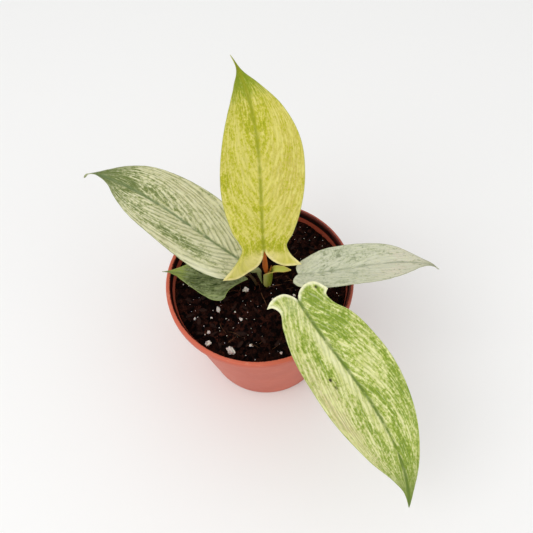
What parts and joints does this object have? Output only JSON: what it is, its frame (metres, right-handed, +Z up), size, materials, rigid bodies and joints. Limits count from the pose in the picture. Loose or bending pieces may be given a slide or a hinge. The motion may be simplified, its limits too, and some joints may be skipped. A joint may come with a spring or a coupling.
{
  "type": "potted variegated philodendron",
  "caption": "Young climbing philodendron with long lobed pale variegated leaves on thin stalks, in a round plastic nursery pot filled with soil",
  "frame": {"origin": "centre of the pot's underside, on the surface it stands on", "axes": "+Z is up along the pot's axis; the tall upright leaf leans towards +Y and the longest drooping leaf reaches towards -Y and +X"},
  "size_m": [0.2127, 0.2081, 0.2255],
  "materials": {
    "pot": "satin moulded terracotta-coloured plastic",
    "soil": "moist peat and bark mix with pale perlite chips",
    "stem": "rough brown-green bark",
    "sheath": "smooth green sheath, yellow at its tongue",
    "bud": "smooth rust-orange shoot",
    "blade_upright": "satin yellow-green leaf with pale margins",
    "stalk_upright": "satin rust-orange stalk",
    "blade_front": "satin cream leaf mottled green",
    "stalk_front": "satin olive-brown stalk",
    "blade_left": "satin grey-green veined leaf",
    "stalk_left": "satin grey-green stalk",
    "blade_right": "satin pale silvery mint leaf",
    "stalk_right": "satin olive stalk",
    "blade_low": "satin dark green leaf",
    "stalk_low": "satin brown-green stalk"
  },
  "bodies": {
    "root": {"pot": "pot", "soil": "soil", "stem": "stem", "sheath": "sheath", "bud": "bud", "blade_upright": "blade_upright", "stalk_upright": "stalk_upright", "blade_front": "blade_front", "stalk_front": "stalk_front", "blade_left": "blade_left", "stalk_left": "stalk_left", "blade_right": "blade_right", "stalk_right": "stalk_right", "blade_low": "blade_low", "stalk_low": "stalk_low"}
  },
  "joints": []
}
